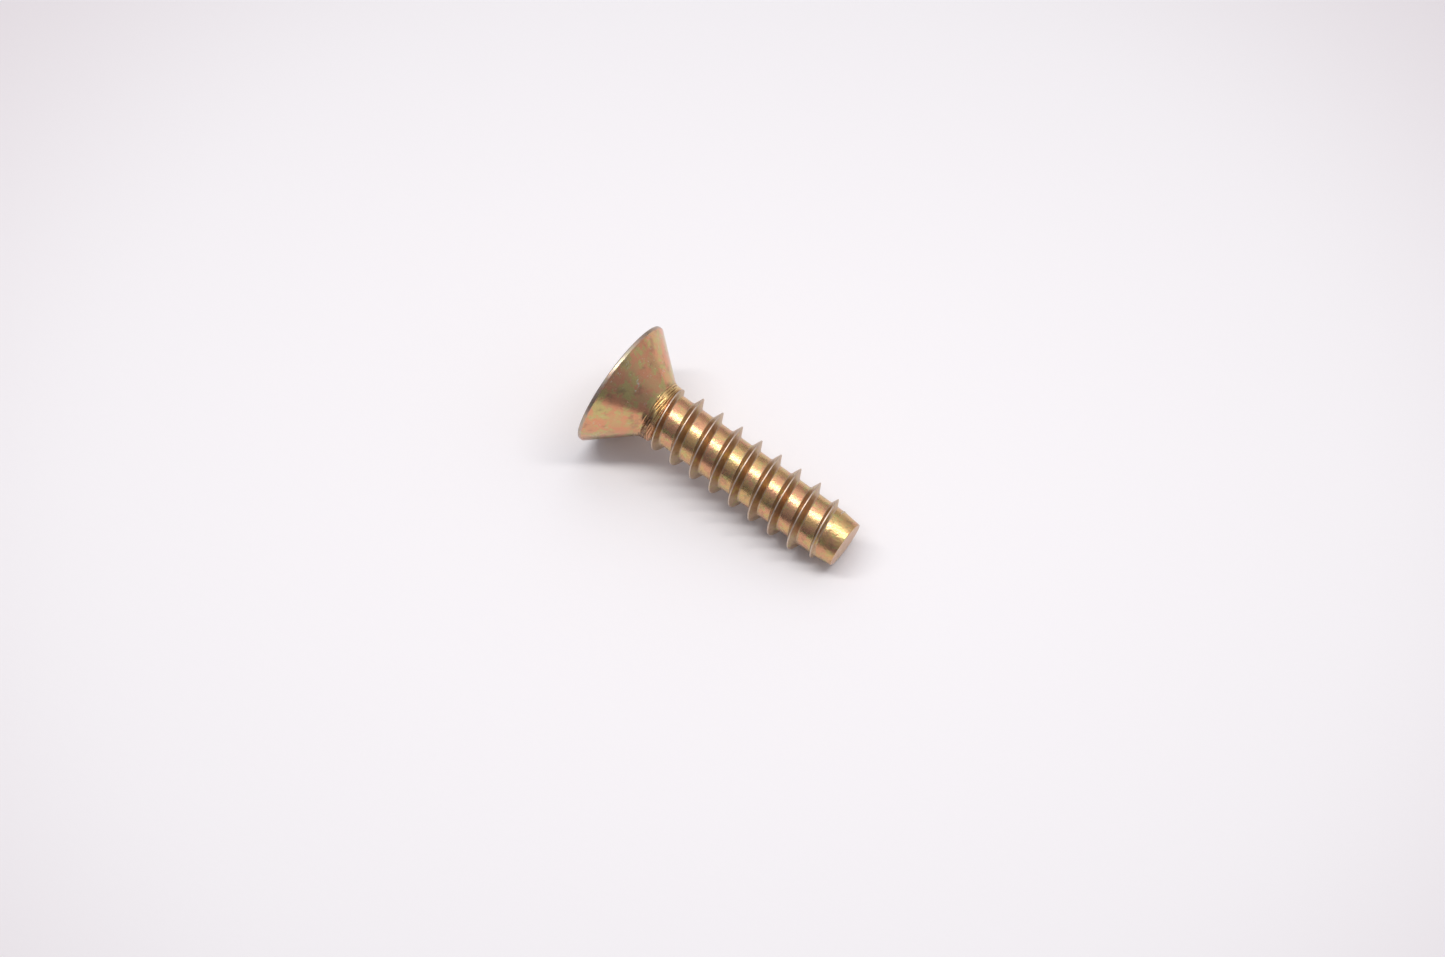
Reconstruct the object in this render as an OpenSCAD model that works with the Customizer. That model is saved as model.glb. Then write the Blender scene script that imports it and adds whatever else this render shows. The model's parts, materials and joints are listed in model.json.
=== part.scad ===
// Countersunk tapping screw with a coarse single-start thread and a blunt tapered point.
// It is built upright, with its axis along Z from the head's face to the blunt end,
// and then laid down to rest on the head's rim and on the crest of the thread.

/* [Head] */
// Diameter of the head over its rim
head_d = 9.1; // [8.6:0.1:9.8]
// Included angle of the countersunk cone
head_angle = 80; // [76:1:90]
// Height of the straight band round the rim
rim_h = 0.24; // [0.16:0.02:0.36]
// Chamfer on the outer edge of the rim
rim_chamfer = 0.06; // [0.02:0.02:0.1]

/* [Drive recess] */
// Diameter of the cross recess at the head's face
recess_d = 5.1; // [4.6:0.1:5.4]
// Width of each wing of the cross
wing_w = 1.1; // [0.9:0.05:1.3]
// Taper of the ends of the wings, from the screw's axis
wing_taper = 26.5; // [24:0.5:28]
// Thickness of steel left between the recess and the flare
recess_floor = 0.35; // [0.3:0.05:0.6]

/* [Shank] */
// Overall length, from the head's face to the blunt end
length = 18.6; // [16:0.1:40]
// Diameter of the plain band under the head
neck_d = 4.16; // [4:0.02:4.3]
// Length of the plain band, from the flare to the thread
band_len = 0.13; // [0.02:0.01:0.6]
// Radius of the flare between the head's cone and the plain band
flare_r = 0.9; // [0.6:0.1:1.2]
// Diameter of the core, at the root of the thread
core_d = 3.5; // [3.4:0.02:3.6]

/* [Thread] */
// Distance from one crest to the next
pitch = 1.6; // [1.4:0.05:1.8]
// Diameter over the crests
thread_d = 4.76; // [4.6:0.02:4.9]
// Included angle between the flanks
thread_angle = 52; // [44:1:60]
// Width of the flat on the crest
crest_w = 0.07; // [0.04:0.01:0.1]
// Turns over which the thread rises out of the neck
start_turns = 1.5; // [1:0.1:2]
// Turns over which the thread fades out at the point
end_turns = 1.6; // [1:0.1:2]
// Turns of the rising thread that run along the end of the neck
lead_turns = 0.775; // [0.5:0.025:1]
// Turns of the fading thread that run along the start of the point
trail_turns = 0.55; // [0.4:0.05:1]
// Way round the screw at which the thread starts, from the underside
start_angle = 185; // [0:5:355]

/* [Point] */
// Length of the tapered point
point_len = 1.25; // [0.8:0.05:2]
// Diameter of the flat end
end_d = 3.24; // [3:0.02:3.3]

/* [Hidden] */

$fn = 96;
// Sections of the thread in one turn
SECTIONS = 36;
// Steps in the arc of the flare
FLARE_STEPS = 8;
// Least height of the thread, where it starts and ends
LEAST_RIDGE = 0.02;

GOLD = "#b98a45";
OLIVE = "#8f8256";
SILVER = "#a99873";

head_r = head_d / 2;
neck_r = neck_d / 2;
core_r = core_d / 2;
end_r = end_d / 2;
cone_half = head_angle / 2;

// The cone and the neck are joined by an arc that is tangent to both.
cone_meets_neck = rim_h + (head_r - neck_r) / tan(cone_half);
flare_tangent = flare_r * tan(cone_half / 2);
head_h = cone_meets_neck - flare_tangent * cos(cone_half);
flare_top_r = neck_r + flare_tangent * sin(cone_half);
flare_end = cone_meets_neck + flare_tangent;
neck_end = flare_end + band_len;

// The ridge is squeezed between the end of the neck and the start of the point.
point_start = length - point_len;
crest_half = crest_w / 2;
flank_slope = tan(thread_angle / 2);
ridge_h = (thread_d - core_d) / 2;
thread_turns = lead_turns + (point_start - neck_end) / pitch + trail_turns;
// The ridge's foot stands on the flats between sections, so that it clears the core.
foot_r = core_r / cos(180 / SECTIONS);

// Height of the ridge after a number of turns from its start
function ridge(turn) = max(LEAST_RIDGE,
    ridge_h * min(1, turn / start_turns, (thread_turns - turn) / end_turns));
// Half of the ridge's width at its foot, for a height
function half_width(h) = crest_half + h * flank_slope;
// Place of the ridge's middle along the axis
function along(turn) = let (w = half_width(ridge(turn)))
    min(point_start - w, max(neck_end + w, neck_end + (turn - lead_turns) * pitch));

// The screw tips down until a crest on its underside meets the floor.
// Each of those crests asks for a tilt, and the first to touch needs the least.
function tilt_at(turn) = atan((head_r - core_r - ridge(turn)) / (along(turn) - rim_h));
underside_turns = [for (turn = [1 - start_angle / 360:1:thread_turns]) turn];
rest_tilt = min([for (turn = underside_turns) tilt_at(turn)]);

// Middle of the screw's box, before it is moved over the origin
box_middle = (length * cos(rest_tilt) + (end_r - head_r + rim_chamfer) * sin(rest_tilt)) / 2;
rim_drop = head_r * cos(rest_tilt) + rim_h * sin(rest_tilt);

// Lays a shape built upright down in its place.
module laid() {
    translate([-box_middle, 0, rim_drop]) rotate([0, 90 + rest_tilt, 0]) children();
}

// Countersunk head with its cross recess, down to where the cone starts to flare
module head() {
    color(OLIVE) laid() difference() {
        rotate_extrude() polygon([
            [0, 0],
            [head_r - rim_chamfer, 0],
            [head_r, rim_chamfer],
            [head_r, rim_h],
            [flare_top_r, head_h],
            [0, head_h]
        ]);
        drive_recess();
    }
}

// Tapered cross, with a round foot where the wings meet
module drive_recess() {
    over = 0.2;
    foot_cone = 0.3;
    foot_tip_r = 0.1;
    hub_mouth_r = 1.1 * wing_w;
    hub_foot_r = 0.7 * wing_w;
    wing_depth = head_h - foot_cone - recess_floor;
    mouth_r = recess_d / 2 + over * tan(wing_taper);
    foot_wing_r = recess_d / 2 - wing_depth * tan(wing_taper);
    translate([0, 0, -over]) intersection() {
        cylinder(h = wing_depth + over, r1 = mouth_r, r2 = foot_wing_r);
        for (turn = [0, 90])
            rotate([0, 0, turn])
                translate([-recess_d, -wing_w / 2, 0])
                    cube([2 * recess_d, wing_w, wing_depth + over]);
    }
    translate([0, 0, -over]) cylinder(h = wing_depth + over, r1 = hub_mouth_r, r2 = hub_foot_r);
    translate([0, 0, wing_depth]) cylinder(h = foot_cone, r1 = hub_foot_r, r2 = foot_tip_r);
}

// Flare under the head, and the plain band that the thread starts from
module neck() {
    color(GOLD) laid() rotate_extrude() polygon(concat(
        [[0, head_h]],
        [for (i = [0:FLARE_STEPS])
            let (a = cone_half * (1 - i / FLARE_STEPS))
                [neck_r + flare_r * (1 - cos(a)), flare_end - flare_r * sin(a)]],
        [[neck_r, neck_end], [0, neck_end]]
    ));
}

// Plain core that the thread stands on
module shank_core() {
    color(GOLD) laid() translate([0, 0, neck_end])
        cylinder(h = point_start - neck_end, r = core_r);
}

// Right-hand helical ridge with flat flanks and a narrow flat crest
module thread() {
    steps = floor(thread_turns * SECTIONS);
    points = [for (i = [0:steps])
        let (turn = i / SECTIONS, a = start_angle + 360 * turn)
        let (h = ridge(turn), w = half_width(h), z = along(turn))
        for (p = [[foot_r, -w], [core_r + h, -crest_half], [core_r + h, crest_half], [foot_r, w]])
            [p[0] * cos(a), p[0] * sin(a), z + p[1]]];
    sides = [for (i = [0:steps - 1], j = [0:3])
        let (a = 4 * i + j, b = 4 * i + (j + 1) % 4)
        for (tri = [[a, b, b + 4], [a, b + 4, a + 4]]) tri];
    ends = [[3, 2, 1], [3, 1, 0],
        [for (j = [0, 1, 2]) 4 * steps + j], [for (j = [0, 2, 3]) 4 * steps + j]];
    color(SILVER) laid() polyhedron(points, concat(sides, ends));
}

// Blunt tapered point with a flat end
module blunt_point() {
    color(GOLD) laid() translate([0, 0, point_start])
        cylinder(h = point_len, r1 = core_r, r2 = end_r);
}

head();
neck();
shank_core();
thread();
blunt_point();
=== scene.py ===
"""A countersunk tapping screw in yellow-zinc plated steel, lying on a pale studio floor.

The five CAD regions are replaced by finer meshes of the same size: a head with its cross recess,
a rolled neck, a core, a thread with rounded roots and a blunt point.
"""

import json
import math

import bpy
from mathutils import Matrix, Vector, noise


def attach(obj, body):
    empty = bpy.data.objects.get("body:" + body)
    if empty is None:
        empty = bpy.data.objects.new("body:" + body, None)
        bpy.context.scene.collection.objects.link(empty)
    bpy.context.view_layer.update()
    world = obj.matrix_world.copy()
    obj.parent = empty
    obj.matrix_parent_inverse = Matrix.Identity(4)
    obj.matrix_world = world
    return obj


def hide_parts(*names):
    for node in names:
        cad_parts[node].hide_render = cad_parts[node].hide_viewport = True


MM = 0.001

# Sizes of the screw, in millimetres, as in the CAD model
HEAD_R = 4.55
CONE_HALF = math.radians(40)
RIM_H = 0.24
NECK_R = 2.08
FLARE_R = 0.9
BAND_LEN = 0.13
CORE_R = 1.75
LENGTH = 18.6
POINT_LEN = 1.25
END_R = 1.62
PITCH = 1.6
CREST_R = 2.38
CREST_HALF = 0.035
FLANK = math.tan(math.radians(26))
LEAST_RIDGE = 0.02
START_TURNS, END_TURNS = 1.5, 1.6
LEAD_TURNS, TRAIL_TURNS = 0.775, 0.55
START_ANGLE = math.radians(185)
RECESS_R = 2.55
WING_HALF = 0.55
WING_TAPER = math.tan(math.radians(26.5))
RECESS_FLOOR = 0.35
RECESS_FOOT = 0.3

# Finer shapes than the CAD model has, in millimetres
RIM_ROUND = 0.07
END_ROUND = 0.05
MOUTH_ROUND = 0.08
WING_DRAFT = math.tan(math.radians(3))
WING_ROUND, HUB_ROUND = 0.25, 0.3
HUB_SHARE = 1.71  # radius of the recess's hub, as a share of half a wing's width
CREST_ROUND, ROOT_ROUND = 0.02, 0.16
GROOVE_PITCH, GROOVE_DEPTH = 0.17, 0.05
GROOVE_RUN = 0.62  # how far before the neck's end the rolled grooves start
BAND_RUN = 0.3  # how far the plain band may go on beyond the neck
START_SLOPE, START_RUN = 0.4, 0.75  # slope from the band to the core, and the stretch for both

# How worn the edges of the head are, from 0 to 1
MOUTH_WEAR, FACE_WEAR, RIM_WEAR, BAND_WEAR, CONE_EDGE_WEAR = 0.5, 0.3, 0.8, 0.82, 0.66
CREST_WEAR_H = 0.06  # height below the crest over which its wear fades

# Middle of the darker side of the neck, and how far it tones down the gold of the rings
DARK_SIDE_ANGLE = math.radians(262)
DARK_SIDE_DULL = 0.55

# Places along the screw, worked out as in the CAD model
CONE_MEETS_NECK = RIM_H + (HEAD_R - NECK_R) / math.tan(CONE_HALF)
FLARE_TANGENT = FLARE_R * math.tan(CONE_HALF / 2)
HEAD_H = CONE_MEETS_NECK - FLARE_TANGENT * math.cos(CONE_HALF)
FLARE_END = CONE_MEETS_NECK + FLARE_TANGENT
NECK_END = FLARE_END + BAND_LEN
POINT_START = LENGTH - POINT_LEN
RIDGE_H = CREST_R - CORE_R
THREAD_TURNS = LEAD_TURNS + (POINT_START - NECK_END) / PITCH + TRAIL_TURNS

ROUND = 256  # points round a lathed piece
TURN_STEPS = 128  # sections in one turn of the thread

# The camera: its direction, its distance, the shift of its aim from the screw's middle, and its
# lens and sensor, in mm
AZIMUTH, ELEVATION = math.radians(36.08), math.radians(60.53)
DISTANCE = 264.4
AIM_RIGHT, AIM_UP = -0.593, -1.011
LENS, SENSOR_WIDTH = 100, 36

# The sheet of paper that the screw lies on, and where the painted falloff of light on it starts and
# ends, in mm
SHEET_SIDE, SHEET_FRONT, SHEET_BACK = 62, 39, 62
SHADE_START, SHADE_END = 40, 75

# Light: a strip lamp overhead, in metres and watts, and the strength of each part of the room,
# which is pale above, behind and on the right, and dim in front
KEY_AXIS = (-0.02, 0.01, 1)
KEY_LIE = (0.85, 0.54, 0)
KEY_DISTANCE, KEY_LENGTH, KEY_WIDTH = 0.120, 0.157, 0.0132
KEY_POWER = 0.089
KEY_COLOUR = (1, 0.99, 0.98)
ROOM = 0.13
DOME = 0.26
CEILING = 0.45
FAR_WALL = 0.32
RIGHT_WALL = 0.18

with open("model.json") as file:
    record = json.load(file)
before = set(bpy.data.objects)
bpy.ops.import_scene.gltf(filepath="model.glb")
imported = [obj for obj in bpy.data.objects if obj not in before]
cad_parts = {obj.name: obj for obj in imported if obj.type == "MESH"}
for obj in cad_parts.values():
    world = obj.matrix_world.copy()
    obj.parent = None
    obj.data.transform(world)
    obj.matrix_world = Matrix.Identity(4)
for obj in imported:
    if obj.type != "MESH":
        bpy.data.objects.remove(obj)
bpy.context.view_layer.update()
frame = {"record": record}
MOUNTS = {mount["name"]: mount for mount in frame["record"]["mounts"]}


def screw_frame():
    """Matrix from the upright screw, in millimetres with Z towards the point, to its place."""
    top = Vector(MOUNTS["drive_recess"]["pos_m"])
    along = (Vector(MOUNTS["end_face"]["pos_m"]) - top).normalized()
    side = Vector((0, 1, 0))
    under = side.cross(along)
    turn = Matrix((under, side, along)).transposed().to_4x4()
    return Matrix.Translation(top) @ turn @ Matrix.Scale(MM, 4)


LAID = screw_frame()


def smooth_min(a, b, soft):
    """Lesser of two numbers, with the corner between them rounded."""
    h = max(soft - abs(a - b), 0) / soft
    return min(a, b) - h * h * soft / 4


def smooth_max(a, b, soft):
    """Greater of two numbers, with the corner between them rounded."""
    return -smooth_min(-a, -b, soft)


def finish_mesh(name, points, faces, marks, sharp_rings=()):
    """Makes a piece from points in the upright screw's frame, with the marks that its points carry."""
    mesh = bpy.data.meshes.new(name)
    mesh.from_pydata([LAID @ Vector(p) for p in points], [], faces)
    mesh.update()
    mesh.shade_smooth()
    for mark, values in marks.items():
        layer = mesh.attributes.new(mark, "FLOAT", "POINT")
        layer.data.foreach_set("value", values)
    sharp = set()
    for ring in sharp_rings:
        sharp.update(tuple(sorted((ring[i - 1], ring[i]))) for i in range(len(ring)))
    if sharp:
        layer = mesh.attributes.new("sharp_edge", "BOOLEAN", "EDGE")
        for edge in mesh.edges:
            layer.data[edge.index].value = tuple(sorted(edge.vertices)) in sharp
    piece = bpy.data.objects.new(name, mesh)
    bpy.context.scene.collection.objects.link(piece)
    return piece


def skin(name, rings, marks, sharp):
    """Closed skin through rings of ROUND points, shut at both ends with a fan.

    marks gives each mark a value for every ring, which may be a function of the angle.
    sharp lists the rings where the surface has a sharp edge.
    """
    points = [p for ring in rings for p in ring]
    faces = []
    for k in range(len(rings) - 1):
        for i in range(ROUND):
            j = (i + 1) % ROUND
            a, b = k * ROUND, (k + 1) * ROUND
            faces.append((a + i, b + i, b + j, a + j))
    first, last = len(points), len(points) + 1
    points.append(sum((Vector(p) for p in rings[0]), Vector()) / ROUND)
    points.append(sum((Vector(p) for p in rings[-1]), Vector()) / ROUND)
    base = (len(rings) - 1) * ROUND
    for i in range(ROUND):
        j = (i + 1) % ROUND
        faces.append((first, i, j))
        faces.append((last, base + j, base + i))
    angles = [2 * math.pi * i / ROUND for i in range(ROUND)]
    spread = {}
    for mark, values in marks.items():
        spread[mark] = [v(a) if callable(v) else v for v in values for a in angles]
        spread[mark] += [0.0, spread[mark][-1]]
    edges = [[k * ROUND + i for i in range(ROUND)] for k in sharp]
    return finish_mesh(name, points, faces, spread, edges)


def circle(r, z):
    """Ring of points of radius r at height z. r may also be a function of the angle."""
    ring = []
    for i in range(ROUND):
        a = 2 * math.pi * i / ROUND
        rr = r(a) if callable(r) else r
        ring.append((rr * math.cos(a), rr * math.sin(a), z))
    return ring


def steps(first, last, count):
    """Evenly spaced numbers from first to last, both included."""
    return [first + (last - first) * i / (count - 1) for i in range(count)]


# ---------------------------------------------------------------- shapes


def cross_outline(grow, depth):
    """Radius of the cross recess round the screw, for a depth below the face."""
    wing_r = RECESS_R + grow - depth * WING_TAPER
    half = WING_HALF + grow - depth * WING_DRAFT
    nearly_zero = 1e-6

    def radius(a):
        side = half / max(min(abs(math.sin(a)), abs(math.cos(a))), nearly_zero)
        return smooth_max(smooth_min(side, wing_r, WING_ROUND), HUB_SHARE * half, HUB_ROUND)

    return radius


def make_head():
    """Countersunk head: recess from its foot up, the face, the rim, and the cone down to the neck."""
    wing_depth = HEAD_H - RECESS_FOOT - RECESS_FLOOR
    rings, wear = [], []

    def add(ring, mark=0.0):
        rings.append(ring)
        wear.append(mark)

    foot = cross_outline(0, wing_depth)
    for s in steps(0.02, 1, 12):
        add(circle(lambda a: s * foot(a), wing_depth + RECESS_FOOT * (1 - s ** 1.5)))
    for depth in steps(wing_depth, MOUTH_ROUND, 24)[1:]:
        add(circle(cross_outline(0, depth), depth))
    for turn in steps(0, math.pi / 2, 6)[1:]:
        grow = MOUTH_ROUND * (1 - math.cos(turn))
        add(circle(cross_outline(grow, 0), MOUTH_ROUND * (1 - math.sin(turn))), MOUTH_WEAR)
    mouth = cross_outline(MOUTH_ROUND, 0)
    face_r = HEAD_R - RIM_ROUND
    for s in steps(0, 1, 14)[1:]:
        add(circle(lambda a: mouth(a) * (1 - s) + face_r * s, 0), FACE_WEAR * s ** 8)
    for turn in steps(0, math.pi / 2, 7)[1:]:
        z = RIM_ROUND * (1 - math.cos(turn))
        add(circle(face_r + RIM_ROUND * math.sin(turn), z), RIM_WEAR)
    add(circle(HEAD_R, RIM_H / 2), BAND_WEAR)
    corner = RIM_ROUND * math.tan(CONE_HALF / 2)
    for turn in steps(0, CONE_HALF, 6):
        r = HEAD_R - RIM_ROUND * (1 - math.cos(turn))
        add(circle(r, RIM_H - corner + RIM_ROUND * math.sin(turn)), CONE_EDGE_WEAR)
    top_r, top_z = HEAD_R - corner * math.sin(CONE_HALF), RIM_H + corner * math.cos(CONE_HALF)
    low_r = NECK_R + FLARE_TANGENT * math.sin(CONE_HALF)
    for s in steps(0, 1, 40)[1:]:
        add(circle(top_r + (low_r - top_r) * s, top_z + (HEAD_H - top_z) * s))
    return skin("screw_head", rings, {"wear": wear}, [len(rings) - 1])


def ease(x):
    """0 up to 0, 1 from 1 on, smooth between."""
    x = min(1, max(0, x))
    return x * x * (3 - 2 * x)


def around(a):
    """Point of the unit circle at an angle, from which noise is read so that it has no seam."""
    return Vector((math.cos(a), math.sin(a), 0))


def band_reach(a):
    """How far the plain band goes on beyond the neck, towards the first crest, at an angle."""
    fade_start, fade_turns = 0.15, 0.3
    turn = (a - START_ANGLE) / (2 * math.pi) % 1
    fade = 1 if turn > 0.5 else 1 - ease((turn - fade_start) / fade_turns)
    first = turn if turn > 0.5 else turn + 1
    foot = along(first) - CREST_HALF - ridge(first) * FLANK
    return fade * min(BAND_RUN, max(0, foot - NECK_END))


def rolled_ring(a, z):
    """Depth of the uneven grooves that the thread rolls pressed into the neck."""
    fade_in, fade_out = 0.25, 0.1
    fade = ease((z - NECK_END + GROOVE_RUN) / fade_in)
    fade *= 1 - ease((z - NECK_END - band_reach(a)) / fade_out)
    wander = 0.4 * noise.noise(around(a) * 2.5)
    phase = (z - HEAD_H) / GROOVE_PITCH + wander
    strength = 0.75 + 1.2 * noise.noise(around(a) * 4 + Vector((0, 0, z * 5)))
    return fade * max(0, strength) * GROOVE_DEPTH / 2 * (1 - math.cos(2 * math.pi * phase))


def dark_side_share(a):
    """How much the neck is darkened at an angle: most on its lower near side."""
    start, fade = 0.3, 0.6
    return ease((math.cos(a - DARK_SIDE_ANGLE) - start) / fade)


def dark_band_mark(z):
    """Share of the dark brown band along a ring of the neck. It is wider, stronger and nearer the
    thread on the darker side.
    """
    def share(a):
        half_width = 0.16 + 0.16 * dark_side_share(a) + 0.08 * noise.noise(around(a) * 5)
        middle = NECK_END - 0.38 + 0.22 * dark_side_share(a)
        strength = 0.55 + 0.45 * dark_side_share(a)
        return strength * ease(1.6 * (1 - abs(z - middle) / half_width))
    return share


def groove_shade_mark(z):
    """Share of painted shade in a ring's grooves, which is full where they are deep."""
    full_depth = 0.04
    return lambda a: min(1, rolled_ring(a, z) / full_depth)


def neck_gold(z):
    """Share of bright rolled gold along a ring of the neck."""
    start, fade = NECK_END - 0.55, 0.2
    return lambda a: ease((z - start) / fade) * (1 - DARK_SIDE_DULL * dark_side_share(a))


def band_gold(z):
    """Share of bright rolled gold along a ring of the core, where the plain band goes on."""
    fade = 0.12
    return lambda a: (1 - ease((z - NECK_END - band_reach(a)) / fade)) * (1 - DARK_SIDE_DULL * dark_side_share(a))


def make_neck():
    """Flare under the head and the plain band, with the fine rings that rolling left."""
    profile = []
    for turn in steps(CONE_HALF, 0, 72):
        r = NECK_R + FLARE_R * (1 - math.cos(turn))
        profile.append((r, FLARE_END - FLARE_R * math.sin(turn)))
    for z in steps(FLARE_END, NECK_END, 16)[1:]:
        profile.append((NECK_R, z))
    rings, gold, groove_shade, dark_band = [], [], [], []
    for r, z in profile:
        rings.append(circle(lambda a: r - rolled_ring(a, z), z))
        gold.append(neck_gold(z))
        groove_shade.append(groove_shade_mark(z))
        dark_band.append(dark_band_mark(z))
    inside_core = CORE_R * 0.95
    rings.append(circle(inside_core, NECK_END))
    marks = {"ring": gold, "groove_shade": groove_shade, "dark_band": dark_band}
    for values in marks.values():
        values.append(0.0)
    return skin("screw_neck", rings, marks, [0, len(profile) - 1])


def make_core():
    """Core between the neck and the point. Its start carries on the plain band, then slopes down."""
    def start_r(a, z):
        high = 1 - ease((z - NECK_END - band_reach(a)) / START_SLOPE)
        return CORE_R + (NECK_R - CORE_R) * high - rolled_ring(a, z)

    rings, gold, groove_shade = [], [], []
    start_end = NECK_END + START_RUN
    for z in steps(NECK_END, start_end, 60)[:-1]:
        rings.append(circle(lambda a: start_r(a, z), z))
        gold.append(band_gold(z))
        groove_shade.append(groove_shade_mark(z))
    for z in steps(start_end, POINT_START, 160):
        rings.append(circle(CORE_R, z))
        gold.append(0.0)
        groove_shade.append(0.0)
    return skin("screw_core", rings, {"ring": gold, "groove_shade": groove_shade}, [0, len(rings) - 1])


def bare_mark(s):
    """How bare the flat end is, a share s of the way out from its middle. It is worn in patches."""
    return lambda a: 0.78 + 0.6 * noise.noise(around(a) * s * 4)


def make_point():
    """Tapered point, with its end edge a little rounded."""
    rings, bare = [], []
    for s in steps(0, 1, 20):
        z = POINT_START + (POINT_LEN - END_ROUND) * s
        rings.append(circle(CORE_R + (END_R - CORE_R) * s, z))
        bare.append(0.0)
    for turn in steps(0, math.pi / 2, 7)[1:]:
        r = END_R - END_ROUND * (1 - math.cos(turn))
        rings.append(circle(r, LENGTH - END_ROUND * (1 - math.sin(turn))))
        bare.append(turn / (math.pi / 2))
    for s in steps(1, 0.02, 16)[1:]:
        rings.append(circle((END_R - END_ROUND) * s, LENGTH))
        bare.append(bare_mark(s))
    return skin("screw_point", rings, {"bare": bare}, [0])


def ridge(turn):
    """Height of the thread after a number of turns from its start."""
    rise = min(1, turn / START_TURNS, (THREAD_TURNS - turn) / END_TURNS)
    return max(LEAST_RIDGE, RIDGE_H * rise)


def along(turn):
    """Place of the crest along the screw."""
    w = CREST_HALF + ridge(turn) * FLANK
    helix = NECK_END + (turn - LEAD_TURNS) * PITCH
    return min(POINT_START - w, max(NECK_END + w, helix))


def half_profile(h):
    """One side of the ridge: offsets from the crest's middle and heights, from the crest down."""
    tip = CREST_ROUND  # the corner of the crest is cut off over this height in two short steps
    sink, bury = 0.004, 0.05  # the roots meet the core a little below its surface, and end inside it
    foot = CREST_HALF + h * FLANK
    root = min(ROOT_ROUND, h * 0.6)
    lean = math.atan(FLANK)
    turned = math.pi / 2 - lean
    tangent = root * math.tan(turned / 2)
    out = [(0, h), (CREST_HALF - tip / 2, h), (CREST_HALF + tip * 0.2, h - tip * 0.3)]
    out.append((CREST_HALF + tip * FLANK, h - tip))
    high_x, high_h = foot - tangent * math.sin(lean), tangent * math.cos(lean)
    low_x, low_h = out[-1]
    for s in steps(0, 1, 5)[1:-1]:
        out.append((low_x + (high_x - low_x) * s, low_h + (high_h - low_h) * s))
    for s in steps(0, 1, 9):
        a = turned * (1 - s)
        out.append((foot + tangent - root * math.sin(a), root * (1 - math.cos(a)) - sink))
    out.append((foot + tangent, -bury))
    return out


def make_thread():
    """Right-hand helical ridge with rounded roots, swept section by section."""
    count = int(THREAD_TURNS * TURN_STEPS)
    points, wear = [], []
    for i in range(count + 1):
        turn = i / TURN_STEPS
        a = START_ANGLE + 2 * math.pi * turn
        h, z = ridge(turn), along(turn)
        half = half_profile(h)
        section = [(-x, y) for x, y in reversed(half[1:])] + half
        for x, y in section:
            r = CORE_R + y
            points.append((r * math.cos(a), r * math.sin(a), z + x))
            wear.append(max(0.0, min(1.0, 1 - (h - y) / CREST_WEAR_H)))
    wide = len(section)
    faces = []
    for i in range(count):
        for j in range(wide):
            k = (j + 1) % wide
            a, b = i * wide, (i + 1) * wide
            faces.append((a + j, a + k, b + k, b + j))
    faces.append(tuple(reversed(range(wide))))
    faces.append(tuple(count * wide + j for j in range(wide)))
    return finish_mesh("screw_thread", points, faces, {"wear": wear})


# ---------------------------------------------------------------- materials


class Shader:
    """Short names for the nodes that a material is built from."""

    def __init__(self, name):
        self.material = bpy.data.materials.new(name)
        self.material.use_nodes = True
        self.tree = self.material.node_tree
        self.surface = self.tree.nodes["Principled BSDF"]
        coords = self.tree.nodes.new("ShaderNodeTexCoord")
        self.place = coords.outputs["Object"]

    def node(self, kind, **values):
        made = self.tree.nodes.new(kind)
        for key, value in values.items():
            setattr(made, key, value)
        return made

    def feed(self, socket, value):
        if isinstance(value, bpy.types.NodeSocket):
            self.tree.links.new(value, socket)
        else:
            socket.default_value = value

    def math(self, operation, a, b):
        made = self.node("ShaderNodeMath", operation=operation)
        self.feed(made.inputs[0], a)
        self.feed(made.inputs[1], b)
        return made.outputs[0]

    def times(self, a, b):
        return self.math("MULTIPLY", a, b)

    def noise(self, size_mm, detail, rough, offset=0.0, distortion=0.0):
        """Noise whose features are about size_mm across. Each layer has an offset of its own."""
        made = self.node("ShaderNodeTexNoise")
        shift = self.node("ShaderNodeVectorMath", operation="ADD")
        self.feed(shift.inputs[0], self.place)
        shift.inputs[1].default_value = (offset, offset * 0.7, offset * 1.3)
        self.feed(made.inputs["Vector"], shift.outputs[0])
        made.inputs["Scale"].default_value = 1 / (size_mm * MM)
        made.inputs["Detail"].default_value = detail
        made.inputs["Roughness"].default_value = rough
        made.inputs["Distortion"].default_value = distortion
        return made.outputs["Fac"]

    def ramp(self, value, low, high):
        """0 up to low, 1 from high on, smooth between."""
        made = self.node("ShaderNodeMapRange", interpolation_type="SMOOTHSTEP")
        self.feed(made.inputs["Value"], value)
        made.inputs["From Min"].default_value = low
        made.inputs["From Max"].default_value = high
        return made.outputs["Result"]

    def patches(self, size_mm, low, high, detail, rough, offset=0.0, distortion=0.0):
        """Patches about size_mm across: 0 where the noise is below low, 1 where it is above high."""
        return self.ramp(self.noise(size_mm, detail, rough, offset, distortion), low, high)

    def mix(self, share, a, b):
        made = self.node("ShaderNodeMix", data_type="RGBA")
        self.feed(made.inputs["Factor"], share)
        self.feed(made.inputs["A"], a)
        self.feed(made.inputs["B"], b)
        return made.outputs["Result"]

    def mark(self, name):
        """Value of a mark that the mesh carries."""
        made = self.node("ShaderNodeAttribute", attribute_name=name)
        return made.outputs["Fac"]

    def bump(self, height, depth_mm, normal=None):
        made = self.node("ShaderNodeBump")
        made.inputs["Strength"].default_value = 1.0
        made.inputs["Distance"].default_value = depth_mm * MM
        self.feed(made.inputs["Height"], height)
        if normal:
            self.feed(made.inputs["Normal"], normal)
        return made.outputs["Normal"]


def srgb(r, g, b):
    """Colour from 0 to 255 values as a linear colour."""
    def linear(v):
        v /= 255
        return v / 12.92 if v <= 0.04045 else ((v + 0.055) / 1.055) ** 2.4
    return (linear(r), linear(g), linear(b), 1.0)


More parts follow.
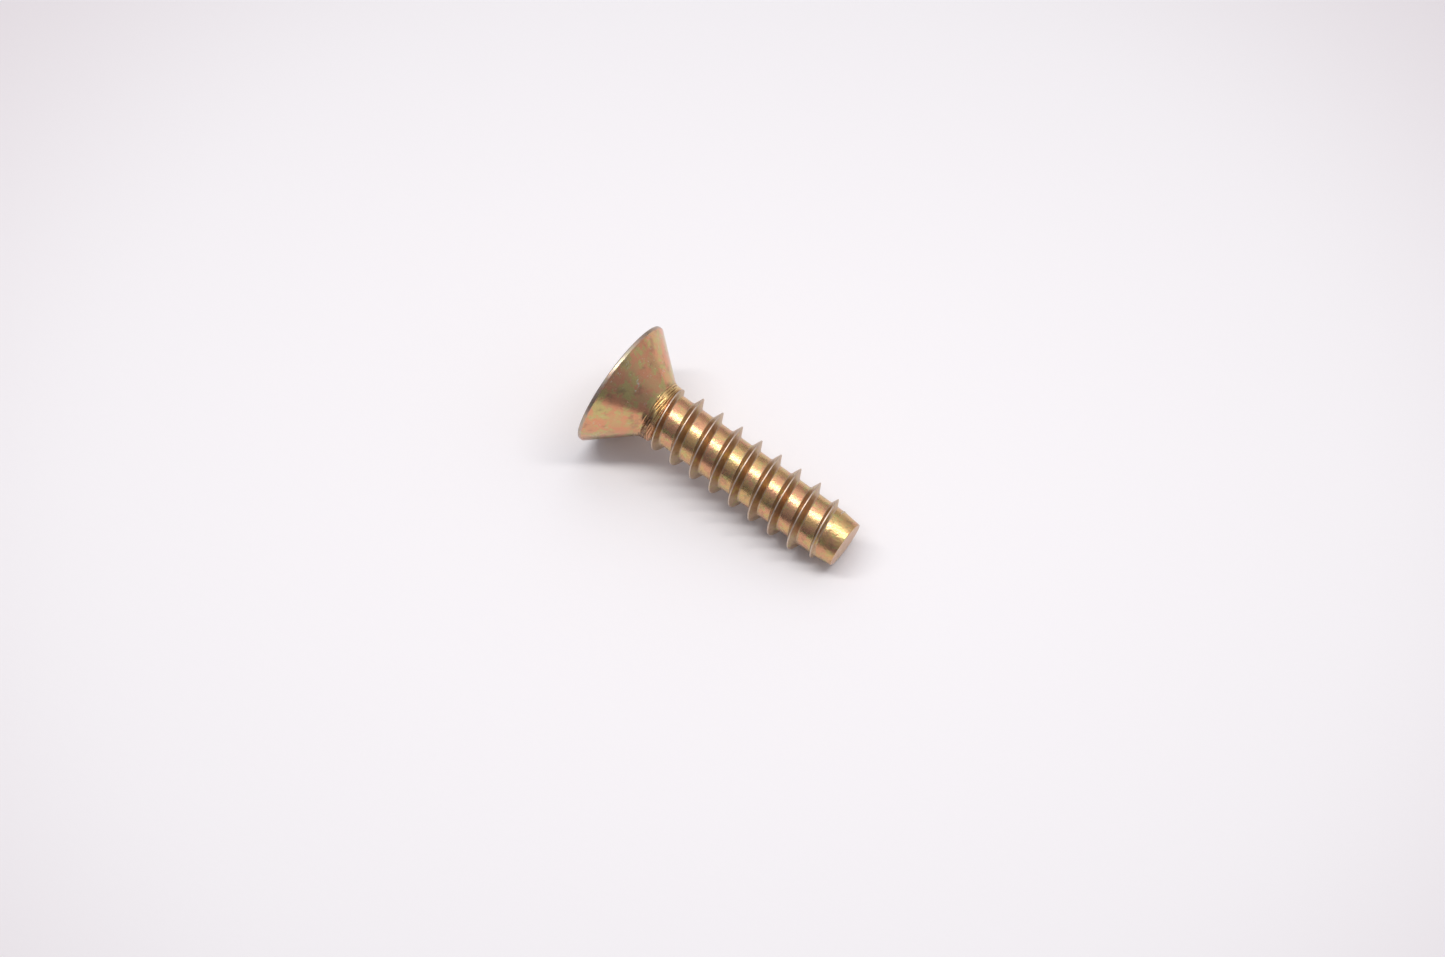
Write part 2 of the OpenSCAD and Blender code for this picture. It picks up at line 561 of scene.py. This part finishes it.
GOLD = srgb(213, 173, 119)
COPPER = srgb(211, 156, 121)
FLANK_GOLD = srgb(192, 166, 136)
FLANK_TAN = srgb(188, 156, 126)
GREEN = srgb(194, 182, 120)
SALMON = srgb(217, 154, 118)
TAN = srgb(206, 164, 120)
RING_GOLD = srgb(220, 184, 124)
# Painted shade in the bottoms of the rolled grooves
GROOVE_SHADE = srgb(146, 112, 78)
# Dark brown band on the neck's flare, between the cone and the rolled rings
DARK_BAND = srgb(120, 91, 79)
UMBER = srgb(150, 118, 96)
SILVER = srgb(208, 190, 174)
STEEL = srgb(206, 202, 192)
RIM_STEEL = srgb(172, 166, 158)
BARE = srgb(218, 192, 174)
PAPER = srgb(243, 240, 240)
# Paper colour for the painted shade where the lamp's light falls off, towards the sheet's edges
PAPER_PAINTED_SHADE = srgb(232, 225, 226)
BACKDROP = srgb(243, 237, 241)


# How strongly the layers of the plating cover what is under them
GREEN_COVER, FLECK_COVER, NICK_COVER = 0.85, 0.25, 0.6
# Roughness that the nicks add, the spread of the fine speckle's, and the depth of the waves in mm
NICK_ROUGHNESS, SPECKLE_ROUGHNESS = 0.2, 0.2
WAVE_DEPTH = 0.006
# Range of a mark over which its colour comes in, and how much of it is lost in gaps
MARK_START, MARK_FULL = 0.35, 0.95
GAP_LOSS = 0.45


def zinc(name, base, tint, overlays, green, blotch, roughness, grain, dirt_share=0.45, nicks=0.0):
    """Yellow-zinc plating: metal whose passivation drifts between base, tint and green.

    overlays lists marks on the mesh, each with the colour and the added roughness that it brings.
    green is the share of greenish blotches, blotch their size in mm, grain the depth of the fine
    pitting in mm, dirt_share the strength of the dull brown stains, and nicks the share of
    bright handling marks.
    """
    m = Shader(name)
    m.surface.inputs["Metallic"].default_value = 1.0
    drift = m.patches(1.3, low=0.42, high=0.58, detail=4, rough=0.6, offset=0.01)
    colour = m.mix(drift, base, tint)
    blotches = m.patches(blotch, low=0.595 - green, high=0.685 - green,
                         detail=6, rough=0.7, offset=0.03, distortion=0.3)
    colour = m.mix(m.times(blotches, GREEN_COVER), colour, GREEN)
    dirt = m.patches(0.9 * blotch, low=0.50, high=0.68, detail=4, rough=0.65, offset=0.11)
    colour = m.mix(m.times(dirt, dirt_share), colour, UMBER)
    flecks = m.patches(0.16, low=0.60, high=0.72, detail=3, rough=0.7, offset=0.13)
    colour = m.mix(m.times(flecks, FLECK_COVER), colour, SILVER)
    if nicks:
        scuffs = m.patches(0.5, low=0.70 - nicks, high=0.82 - nicks,
                           detail=4, rough=0.6, offset=0.17, distortion=1.2)
        colour = m.mix(m.times(scuffs, NICK_COVER), colour, STEEL)
        roughness = m.math("ADD", roughness, m.times(scuffs, NICK_ROUGHNESS))
    gaps = m.patches(0.25, low=0.45, high=0.65, detail=4, rough=0.65, offset=0.15)
    kept = m.math("SUBTRACT", 1.0, m.times(gaps, GAP_LOSS))
    for mark, over, added in overlays:
        share = m.times(m.ramp(m.mark(mark), MARK_START, MARK_FULL), kept)
        colour = m.mix(share, colour, over)
        roughness = m.math("ADD", roughness, m.times(share, added))
    m.feed(m.surface.inputs["Base Color"], colour)
    speckle = m.math("SUBTRACT", m.noise(0.10, detail=2, rough=0.6, offset=0.05), 0.5)
    roughness = m.math("ADD", roughness, m.times(speckle, SPECKLE_ROUGHNESS))
    m.feed(m.surface.inputs["Roughness"], roughness)
    normal = m.bump(m.noise(0.7, detail=2, rough=0.5, offset=0.07), WAVE_DEPTH)
    normal = m.bump(m.noise(0.16, detail=3, rough=0.65, offset=0.09), grain, normal)
    m.feed(m.surface.inputs["Normal"], normal)
    return m.material


def floor_material():
    """White paper with a faint tooth, darkened away from the screw by a painted falloff of light."""
    m = Shader("paper_floor")
    far = m.node("ShaderNodeVectorMath", operation="LENGTH")
    m.feed(far.inputs[0], m.place)
    shade = m.ramp(far.outputs["Value"], SHADE_START * MM, SHADE_END * MM)
    m.feed(m.surface.inputs["Base Color"], m.mix(shade, PAPER, PAPER_PAINTED_SHADE))
    m.surface.inputs["Roughness"].default_value = 0.85
    m.surface.inputs["Specular IOR Level"].default_value = 0.2
    m.feed(m.surface.inputs["Normal"], m.bump(m.noise(0.8, detail=4, rough=0.6), 0.01))
    return m.material


# ---------------------------------------------------------------- stage


def add_floor():
    """Sheet of paper, square to the camera, that reaches a little beyond the picture."""
    right = Vector((math.cos(AZIMUTH), math.sin(AZIMUTH), 0))
    away = Vector((-math.sin(AZIMUTH), math.cos(AZIMUTH), 0))
    corners = [(-SHEET_SIDE, -SHEET_FRONT), (SHEET_SIDE, -SHEET_FRONT),
               (SHEET_SIDE, SHEET_BACK), (-SHEET_SIDE, SHEET_BACK)]
    mesh = bpy.data.meshes.new("floor")
    mesh.from_pydata([(right * x + away * y) * MM for x, y in corners], [], [(0, 1, 2, 3)])
    floor = bpy.data.objects.new("floor", mesh)
    bpy.context.scene.collection.objects.link(floor)
    mesh.materials.append(floor_material())


def view_axes(azimuth, elevation):
    """Directions from the object to the camera, to the picture's right and to its top."""
    back = Vector((math.sin(azimuth) * math.cos(elevation),
                   -math.cos(azimuth) * math.cos(elevation),
                   math.sin(elevation)))
    right = Vector((math.cos(azimuth), math.sin(azimuth), 0))
    return back, right, back.cross(right)


def add_camera():
    data = bpy.data.cameras.new("camera")
    data.lens = LENS
    data.sensor_width = SENSOR_WIDTH
    data.clip_start, data.clip_end = 0.01, 10
    camera = bpy.data.objects.new("camera", data)
    bpy.context.scene.collection.objects.link(camera)
    back, right, up = view_axes(AZIMUTH, ELEVATION)
    middle = LAID @ Vector((0, 0, LENGTH / 2))
    aim = middle + (right * AIM_RIGHT + up * AIM_UP) * MM
    camera.location = aim + back * DISTANCE * MM
    camera.rotation_mode = "QUATERNION"
    camera.rotation_quaternion = (-back).to_track_quat("-Z", "Y")
    bpy.context.scene.camera = camera


def add_key():
    """Long soft lamp that faces the screw from KEY_AXIS, with its length along KEY_LIE."""
    data = bpy.data.lights.new("key", "AREA")
    data.shape = "RECTANGLE"
    data.size, data.size_y = KEY_LENGTH, KEY_WIDTH
    data.energy = KEY_POWER
    data.color = KEY_COLOUR
    lamp = bpy.data.objects.new("key", data)
    bpy.context.scene.collection.objects.link(lamp)
    back = Vector(KEY_AXIS).normalized()
    side = back.cross(Vector(KEY_LIE)).normalized()
    lamp.location = back * KEY_DISTANCE
    lamp.rotation_mode = "QUATERNION"
    lamp.rotation_quaternion = Matrix((side.cross(back), side, back)).transposed().to_quaternion()
    lamp.visible_camera = False


def sky_share(tree, axis, low, high):
    """How far a direction of the sky lies towards an axis: 0 up to low, 1 from high on."""
    coords = tree.nodes.new("ShaderNodeTexCoord")
    dot = tree.nodes.new("ShaderNodeVectorMath")
    dot.operation = "DOT_PRODUCT"
    tree.links.new(coords.outputs["Generated"], dot.inputs[0])
    dot.inputs[1].default_value = Vector(axis).normalized()
    share = tree.nodes.new("ShaderNodeMapRange")
    share.interpolation_type = "SMOOTHSTEP"
    tree.links.new(dot.outputs["Value"], share.inputs["Value"])
    share.inputs["From Min"].default_value = low
    share.inputs["From Max"].default_value = high
    return share.outputs["Result"]


def sky_light(tree, strength, colour, share=None):
    """One part of the room's light, which comes from all round or as far as share says."""
    glow = tree.nodes.new("ShaderNodeBackground")
    glow.inputs["Color"].default_value = colour
    glow.inputs["Strength"].default_value = strength
    if share:
        scale = tree.nodes.new("ShaderNodeMath")
        scale.operation = "MULTIPLY"
        tree.links.new(share, scale.inputs[0])
        scale.inputs[1].default_value = strength
        tree.links.new(scale.outputs[0], glow.inputs["Strength"])
    return glow.outputs[0]


def add_world():
    """A dim room with pale parts. The camera itself sees a plain pale backdrop."""
    world = bpy.data.worlds.new("studio")
    world.use_nodes = True
    tree = world.node_tree
    tree.nodes.remove(tree.nodes["Background"])
    parts = [
        sky_light(tree, ROOM, (0.97, 1.0, 1.2, 1)),
        sky_light(tree, DOME, (1, 1, 1.08, 1), sky_share(tree, (0, 0, 1), -0.05, 0.9)),
        sky_light(tree, CEILING, (1, 0.98, 0.97, 1), sky_share(tree, (0, 0.35, 1), 0.7, 0.97)),
        sky_light(tree, FAR_WALL, (1, 0.95, 0.92, 1), sky_share(tree, (0, 1, 0), -0.1, 0.7)),
        sky_light(tree, RIGHT_WALL, (0.95, 1, 1.15, 1), sky_share(tree, (1, 0.3, 0), 0.3, 1)),
    ]
    room = parts[0]
    for part in parts[1:]:
        both = tree.nodes.new("ShaderNodeAddShader")
        tree.links.new(room, both.inputs[0])
        tree.links.new(part, both.inputs[1])
        room = both.outputs[0]
    backdrop = sky_light(tree, 1.0, BACKDROP)
    path = tree.nodes.new("ShaderNodeLightPath")
    seen = tree.nodes.new("ShaderNodeMixShader")
    tree.links.new(path.outputs["Is Camera Ray"], seen.inputs["Fac"])
    tree.links.new(room, seen.inputs[1])
    tree.links.new(backdrop, seen.inputs[2])
    tree.links.new(seen.outputs[0], tree.nodes["World Output"].inputs["Surface"])
    bpy.context.scene.world = world


def place(piece, material, node):
    """Gives a piece its material, and puts it in the frame in place of a CAD node."""
    piece.data.materials.append(material)
    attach(piece, "root")
    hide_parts(node)


# Rolled rings: bright gold on the band, and painted shade in the bottoms of their grooves
rolled_marks = [("ring", RING_GOLD, 0.06), ("groove_shade", GROOVE_SHADE, 0.1)]
head_metal = zinc("head_zinc", SALMON, TAN, [("wear", RIM_STEEL, 0.25)],
                  green=0.12, blotch=0.9, roughness=0.20, grain=0.002, dirt_share=0.5, nicks=0.10)
neck_metal = zinc("neck_zinc", SALMON, TAN, [("dark_band", DARK_BAND, 0.1)] + rolled_marks,
                  green=0.12, blotch=0.9, roughness=0.20, grain=0.003, dirt_share=0.5, nicks=0.10)
shank_metal = zinc("shank_zinc", GOLD, COPPER, rolled_marks,
                   green=0.08, blotch=0.55, roughness=0.28, grain=0.014)
thread_metal = zinc("thread_zinc", FLANK_GOLD, FLANK_TAN, [("wear", SILVER, 0.1)],
                    green=0.06, blotch=0.45, roughness=0.36, grain=0.006)
point_metal = zinc("point_zinc", GOLD, COPPER, [("bare", BARE, 0.25)],
                   green=0.08, blotch=0.55, roughness=0.31, grain=0.022)

place(make_head(), head_metal, "head")
place(make_neck(), neck_metal, "neck")
place(make_core(), shank_metal, "shank_core")
place(make_thread(), thread_metal, "thread")
place(make_point(), point_metal, "blunt_point")

add_floor()
add_camera()
add_world()
add_key()
bpy.context.scene.view_settings.view_transform = "Standard"
